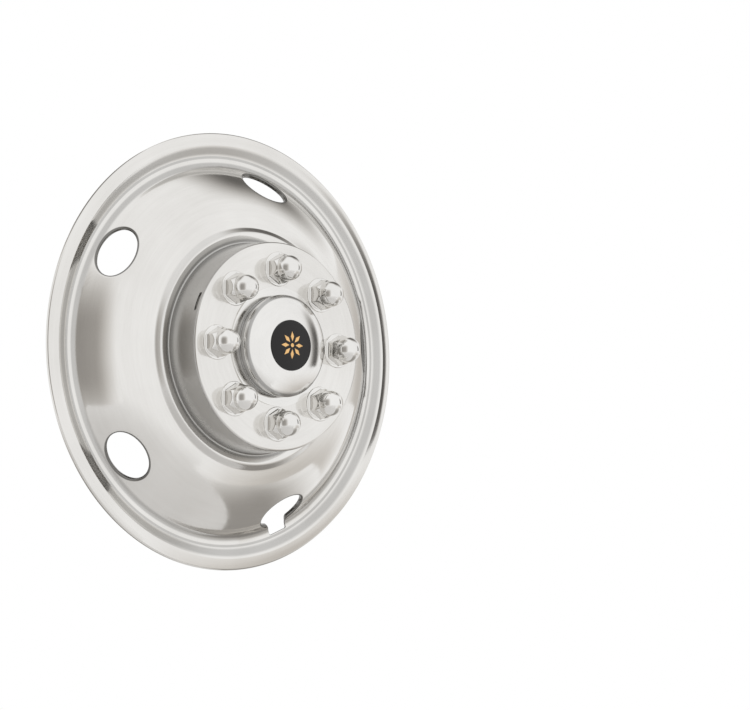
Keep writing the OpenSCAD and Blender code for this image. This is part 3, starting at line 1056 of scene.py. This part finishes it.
def turned(name, outline, columns, material):
    """A closed piece turned from an outline of (radius, height) points."""
    places = [(r, -h, 0) for r, h in outline]
    piece = new_object(name, places, [], [(k, k + 1) for k in range(len(places) - 1)])
    run_tree(piece, TURNING, TURNING_INPUTS, {"Columns": columns, "Material": material})
    print("open edges of", name + ":", tidy_mesh(piece.data, 0.002 * MM))
    smooth_mesh(piece.data)
    return piece


# %% [markdown]
# ## The centre cap
# The cap is spun over a former: a flange that lies on the plate, a neck, and a dome that bulges
# over the neck and ends in a flat seat for the emblem. The outline is drawn once for the face,
# and once more at the sheet's depth on the way back.

# %% Turn the cap
NECK_R = 52.5 * MM
DOME_R = 54.5 * MM
DOME_H = 11 * MM
DOME_RISE = 12.8 * MM
SEAT_R = EMBLEM_R + 0.5 * MM


def dome_point(angle):
    """A point of the dome's outline, from its widest place at 0."""
    return np.array([DOME_R * math.cos(angle), PLATE_H + DOME_H + DOME_RISE * math.sin(angle)])


dome_from = -math.acos(NECK_R / DOME_R)
dome_to = math.acos(SEAT_R / DOME_R)
seat_h = dome_point(dome_to)[1]
dome_line = [dome_point(dome_from + (dome_to - dome_from) * k / 40) for k in range(3, 40)]
cap_line = rounded(
    [
        ((CAP_FLANGE_R, PLATE_H + SHEET), 0),
        ((NECK_R, PLATE_H + SHEET), 0.9 * MM),
        (dome_point(dome_from), 1.2 * MM),
    ]
    + [(p, 0) for p in dome_line]
    + [((SEAT_R, seat_h), 1.3 * MM), ((0, seat_h), 0)]
)


def doubled(line, depth):
    """The outline of a sheet: its face one way, and its back the other way."""
    forward = np.diff(line, axis=0)
    forward /= np.linalg.norm(forward, axis=1)[:, None]
    at_points = np.vstack([forward[:1], forward[:-1] + forward[1:], forward[-1:]])
    at_points /= np.linalg.norm(at_points, axis=1)[:, None]
    inner = line + depth * np.column_stack([-at_points[:, 1], at_points[:, 0]])
    inner[-1, 0] = max(inner[-1, 0], 0)
    return np.vstack([line, inner[::-1]])


cap_outline = doubled(cap_line, SHEET)
cap_outline = np.vstack([cap_outline, cap_outline[:1]])
cap = turned("spun_cap", cap_outline, 256, CAP_STEEL)
dress(cap, CAP_STEEL, "polished_steel", "centre_cap")

# %% [markdown]
# ## The emblem
# The disc has a flat back and a slightly domed face, and its edge is broken so that it catches
# a thin line of light.

# %% Turn the emblem
EMBLEM_EDGE = 1.2 * MM
EMBLEM_RISE = 1.8 * MM
ball = (EMBLEM_R**2 + EMBLEM_RISE**2) / (2 * EMBLEM_RISE)
spread = math.asin(EMBLEM_R / ball)
emblem_top_h = EMBLEM_FOOT_H + EMBLEM_EDGE + EMBLEM_RISE
emblem_face = []
for lean in np.linspace(spread, 0, 17):
    point = (ball * math.sin(lean), emblem_top_h - ball * (1 - math.cos(lean)))
    emblem_face.append((point, 0 if emblem_face else 0.35 * MM))
emblem_outline = rounded([((0, EMBLEM_FOOT_H), 0), ((EMBLEM_R, EMBLEM_FOOT_H), 0.2 * MM), *emblem_face])
emblem = turned("emblem_disc", emblem_outline, 160, EMBLEM)
dress(emblem, EMBLEM, "emblem_black", "cap_emblem")

# %% [markdown]
# ## The lug nut covers
# Each cover is pressed from one sheet. Seen from the front it is a hexagon with soft corners;
# its flats end in an arch where they run into the domed end, because a cone cuts them there. So
# the radius at any height and angle is the smaller of two: the hexagon's and the cone's. Taking a
# soft minimum rounds the edge between them. The rows go from the dome's pole down the outside,
# round the foot ring, along the tail behind the plate and back up inside the pocket.

# %% Shape one cover
HEX_AF = 28 * MM
DOME_END_R = 13.6 * MM
DOME_END_H = COVER_TOP_H - DOME_END_R
TAPER_TOP = DOME_END_H - 3 * MM
TAPER_LEN = 8 * MM
FOOT_T = 1.6 * MM
FOOT_FILLET = 1.2 * MM
TAIL_BREAK = 0.3 * MM
POCKET_R = 12.2 * MM
TAIL_R = 13.2 * MM
TAIL_LEN = 6 * MM
COVER_COLUMNS = 120
cover_angles = np.arange(COVER_COLUMNS) * 2 * math.pi / COVER_COLUMNS


def soft_min(a, b, softness):
    return -softness * np.log(np.exp(-a / softness) + np.exp(-b / softness))


def hexagon():
    """The distance of the hexagon's side in each direction, with its corners rounded."""
    sides = [HEX_AF / 2 / np.maximum(np.cos(cover_angles - k * math.pi / 3), 1e-3) for k in range(6)]
    softness = 0.28 * MM
    total = sum(np.exp(-side / softness) for side in sides)
    return -softness * np.log(total)


# %% The cover's rows
def cover_rows():
    """(radii round the cover, height above the plate) for each row, from the dome to the pocket."""
    even = np.ones(COVER_COLUMNS)
    rows = []
    for turn in np.radians(np.linspace(90, 0, 19)):
        rows.append((even * DOME_END_R * math.cos(turn), DOME_END_H + DOME_END_R * math.sin(turn)))
    corner = HEX_AF / 2 / math.cos(math.pi / 6)
    flats = hexagon()
    for height in np.linspace(TAPER_TOP + 2.4 * MM, FOOT_T + FOOT_FILLET, 30):
        share = min(max((TAPER_TOP - height) / TAPER_LEN, 0), 1)
        cone = even * (DOME_END_R + (corner + 0.8 * MM - DOME_END_R) * share)
        side = soft_min(flats, cone, 0.18 * MM) + 0.12 * MM
        rows.append((np.maximum(side, DOME_END_R * 0.985), height))
    for turn in np.radians([20, 45, 70, 90]):
        out = FOOT_FILLET * (1 - math.cos(turn))
        rows.append((flats + out, FOOT_T + FOOT_FILLET * (1 - math.sin(turn))))
    edge = FOOT_T / 2
    for turn in np.radians(np.linspace(90, 0, 6)):
        foot_r = COVER_FOOT_R - edge * (1 - math.cos(turn))
        rows.append((even * foot_r, FOOT_T - edge * (1 - math.sin(turn))))
    tail_end = -SHEET - TAIL_LEN
    rows.append((even * COVER_FOOT_R, 0.0))
    rows.append((even * TAIL_R, 0.0))
    rows.append((even * TAIL_R, tail_end + TAIL_BREAK))
    rows.append((even * (TAIL_R - TAIL_BREAK), tail_end))
    rows.append((even * POCKET_R, tail_end))
    rows.append((even * POCKET_R, FOOT_T))
    for turn in np.radians(np.linspace(0, 90, 10)):
        rows.append((even * POCKET_R * math.cos(turn), DOME_END_H + POCKET_R * math.sin(turn)))
    return rows


print("a cover has", len(cover_rows()), "rows of", COVER_COLUMNS, "points")


# %% One cover as a mesh
def one_cover():
    """The cover as a closed mesh that stands on the wheel axis."""
    places = []
    for radii, height in cover_rows():
        around = zip(radii, cover_angles)
        places += [(r * math.cos(a), -PLATE_H - height, r * math.sin(a)) for r, a in around]
    faces = []
    for i in range(len(places) // COVER_COLUMNS - 1):
        for j in range(COVER_COLUMNS):
            after = (j + 1) % COVER_COLUMNS
            a, b = i * COVER_COLUMNS, (i + 1) * COVER_COLUMNS
            faces.append([a + j, a + after, b + after, b + j])
    piece = new_object("nut_covers", places, faces)
    print("open edges of a cover:", tidy_mesh(piece.data, 0.005 * MM))
    smooth_mesh(piece.data, 50)
    return piece


# %% [markdown]
# ## Copies round the wheel
# The eight covers stand on a circle about the wheel axis. A tree of nodes sets them there: it
# puts as many points on a circle as there are copies, the first at the right, and a copy on
# each. The copies don't turn with their places, so each cover has its flats the same way up.

# %% A tree that sets copies on a circle
def circle_tree():
    """Sets as many copies on a circle as it is told to."""
    tree, net, given, names = new_tree(
        "copies_on_circle",
        {"Count": "NodeSocketInt", "Radius": "NodeSocketFloat", "Material": "NodeSocketMaterial"},
    )
    index = net.node("GeometryNodeInputIndex")
    angle = index / given["Count"] * (2 * math.pi)
    right = given["Radius"] * net.math("COSINE", angle)
    up = given["Radius"] * net.math("SINE", angle)
    places = {"Count": given["Count"], "Position": net.vector(right, 0.0, up)}
    points = net.node("GeometryNodePoints", {}, places)
    on_each = {"Points": points, "Instance": given["Geometry"]}
    copies = net.node("GeometryNodeInstanceOnPoints", {}, on_each)
    end_tree(net, copies, given["Material"])
    return tree, names


CIRCLE, CIRCLE_INPUTS = circle_tree()
print("circle tree has", len(CIRCLE.nodes), "nodes")


# %% Set the covers on their circle
circle_values = {"Count": LUGS, "Radius": LUG_R, "Material": COVER_STEEL}
covers = run_tree(one_cover(), CIRCLE, CIRCLE_INPUTS, circle_values)
dress(covers, COVER_STEEL, "polished_steel", *[f"lug_nut_cover_{k + 1}" for k in range(LUGS)])

# %% [markdown]
# ## The spring clips and push rings
# They hide behind the liner, but a hand that lifts the part sees them. Their solids are right as
# they are, so the CAD nodes stay and only take the finish of rolled spring strip.

# %% Give the spring parts their finish
spring_nodes = [f"push_ring_{k + 1}" for k in range(LUGS)]
spring_nodes += [f"cap_clip_{k + 1}" for k in range(CAP_CLIPS)]
spring_nodes += [f"rim_clip_{k + 1}" for k in range(HOLES)]
for name in spring_nodes:
    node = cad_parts[name]
    node.data.materials.clear()
    node.data.materials.append(SPRING_STEEL)
print(len(spring_nodes), "spring parts")

# %% [markdown]
# ## The studio
# Polished steel has hardly a look of its own: it shows the room. The room here is a white tent,
# as for a catalogue picture. The world is white for the camera and for reflections, and the world
# and a soft lamp together light a plain colour at about the value it is written with.

# %% The white tent
def seen_directly(net):
    """1 for rays from the camera, in a mirror or through glass, and 0 for light that spreads."""
    path = net.tree.nodes.new("ShaderNodeLightPath")
    rays = [Value(net, path.outputs[f"Is {kind} Ray"]) for kind in ("Camera", "Glossy", "Transmission")]
    return net.math("MINIMUM", rays[0] + rays[1] + rays[2], 1.0)


def white_tent():
    """White for the camera and mirrors, a little less as a lamp."""
    world = bpy.data.worlds.new("tent")
    bpy.context.scene.world = world
    world.use_nodes = True
    world.node_tree.nodes.clear()
    net = Net(world.node_tree)
    strength = 0.75 + seen_directly(net) * 0.25
    background = net.node("ShaderNodeBackground", {}, {"Color": (1, 1, 1, 1), "Strength": strength})
    net.node("ShaderNodeOutputWorld", {}, {"Surface": background})
    return world


print("world:", white_tent().name)

# %% [markdown]
# ## The floor and the lamp
# The floor is pale and keeps the shadow. Some metres away it fades into the tent's white, so that
# no horizon cuts through the reflections. The lamp is large and soft, and hidden in the steel.

# %% The floor's finish
FLOOR_DROP = 0.52
FLOOR_SIZE = 40
# The distances at which the floor starts to fade, and has faded, into the tent
FADE_NEAR = 0.7
FADE_FAR = 2.6


def floor_material():
    """A pale floor with a faint mottle."""
    material, net = new_material("floor")
    place = net.node("ShaderNodeTexCoord", out="Object")
    mottle = net.noise(place, 2.0, 2.0)
    tone = net.ramp(mottle, [(0.3, (0.80, 0.79, 0.78)), (0.7, (0.83, 0.82, 0.81))])
    distance = net.node("ShaderNodeVectorMath", {"operation": "LENGTH"}, {0: place}, out=1)
    far = net.share(distance, FADE_NEAR, FADE_FAR, "SMOOTHSTEP")
    pale = net.node("ShaderNodeBsdfPrincipled", {}, {"Base Color": tone, "Roughness": 0.8})
    white = net.node("ShaderNodeEmission", {}, {"Color": (1, 1, 1, 1), "Strength": 1.0})
    mixed = net.node("ShaderNodeMixShader", {}, {0: far * seen_directly(net), 1: pale, 2: white})
    net.node("ShaderNodeOutputMaterial", {}, {"Surface": mixed})
    return material


# %% The floor and the lamp
def facing(place, towards, front):
    """A matrix that stands at a place and points one of its axes at another."""
    away = (Vector(towards) - Vector(place)).normalized()
    return Matrix.Translation(place) @ away.to_track_quat(front, "Y").to_matrix().to_4x4()


def sheet_of(name, width, length, place, towards, material):
    """A flat panel that faces a point."""
    corners = [(-0.5, -0.5), (0.5, -0.5), (0.5, 0.5), (-0.5, 0.5)]
    piece = new_object(name, [(x * width, y * length, 0) for x, y in corners], [[0, 1, 2, 3]])
    piece.matrix_world = facing(place, towards, "Z")
    piece.data.materials.append(material)
    return piece


def lamp(name, place, size, power):
    """A square lamp that lights the wheel and is not seen in the steel."""
    data = bpy.data.lights.new(name, "AREA")
    data.shape = "SQUARE"
    data.size = size
    data.energy = power
    made = bpy.data.objects.new(name, data)
    made.matrix_world = facing(place, (0, 0, 0), "-Z")
    made.visible_glossy = False
    bpy.context.scene.collection.objects.link(made)
    return made


floor_z = liner_low.z - FLOOR_DROP
above = (0, 0, floor_z + 1)
sheet_of("floor", FLOOR_SIZE, FLOOR_SIZE, (0, 0, floor_z), above, floor_material())
lamp("key", (1.2, -2.4, 2.2), 1.6, 30)
print("floor at", round(floor_z, 3))

# %% [markdown]
# ## Grey panels
# In a tent that is white all round, steel looks like chalk. Photographers hang grey panels
# beside the object, and the steel shows them as soft dark bands that tell its form. Each panel is
# placed by its direction from the wheel: azimuth from the face's axis, positive to the left, and
# elevation. Its tone runs from one edge to the other. The last one stands close behind the
# wheel, as the dark hub and tyre would, and the holes' edges mirror it. Only the steel sees them.

# %% Hang the panels
PANELS = [
    # name, azimuth, elevation, distance, width, height, tone at the near edge, tone at the far edge
    ("left_panel", 69, 0, 1.5, 2.30, 3.0, 0.48, 0.26),
    ("right_strip", -59, 4, 1.3, 0.42, 1.2, 0.10, 0.10),
    ("right_panel", -108, 0, 1.4, 1.9, 1.7, 0.62, 0.56),
    ("low_front_panel", -66, -32, 1.0, 1.60, 1.00, 0.66, 0.60),
    ("high_right_panel", -112, 52, 1.2, 1.8, 1.4, 0.16, 0.14),
    ("low_right_panel", -88, -52, 0.85, 2.3, 0.95, 0.40, 0.30),
    ("back_right_panel", -150, 5, 1.3, 1.4, 1.7, 0.50, 0.30),
    ("back_top_panel", 170, 52, 1.3, 2.4, 1.5, 0.28, 0.25),
    ("back_low_panel", 170, -45, 0.9, 1.8, 1.0, 0.35, 0.30),
    ("hub_shade", 180, 0, 0.25, 0.60, 0.60, 0.06, 0.06),
]
TAN = (1.0, 0.955, 0.90)


def panel_material(name, width, height, near, far):
    """A panel that glows as dimly as a lit grey sheet, and fades into the tent at its edges."""
    material, net = new_material(name)
    place = net.node("ShaderNodeTexCoord", out="Object")
    x, y, _ = net.axes(place)
    tone = near + net.share(x, -width / 2, width / 2) * (far - near)
    inside_x = net.share(net.math("ABSOLUTE", x), width * 0.5, width * 0.1, "SMOOTHSTEP")
    inside_y = net.share(net.math("ABSOLUTE", y), height * 0.5, height * 0.1, "SMOOTHSTEP")
    inside = inside_x * inside_y
    colour = net.scaled(net.mix(inside, (1, 1, 1), TAN), 1.0 - inside * (1.0 - tone))
    glow = net.node("ShaderNodeEmission", {}, {"Color": colour, "Strength": 1.0})
    net.node("ShaderNodeOutputMaterial", {}, {"Surface": glow})
    return material


for name, azimuth, elevation, distance, width, height, near, far in PANELS:
    az, el = math.radians(azimuth), math.radians(elevation)
    ahead = Vector((-math.sin(az) * math.cos(el), -math.cos(az) * math.cos(el), math.sin(el)))
    if azimuth < 0:
        near, far = far, near
    finish = panel_material(name, width, height, near, far)
    panel = sheet_of(name, width, height, ahead * distance, (0, 0, 0), finish)
    panel.visible_camera = False
    panel.visible_diffuse = False
    panel.visible_shadow = False
print(len(PANELS), "panels")
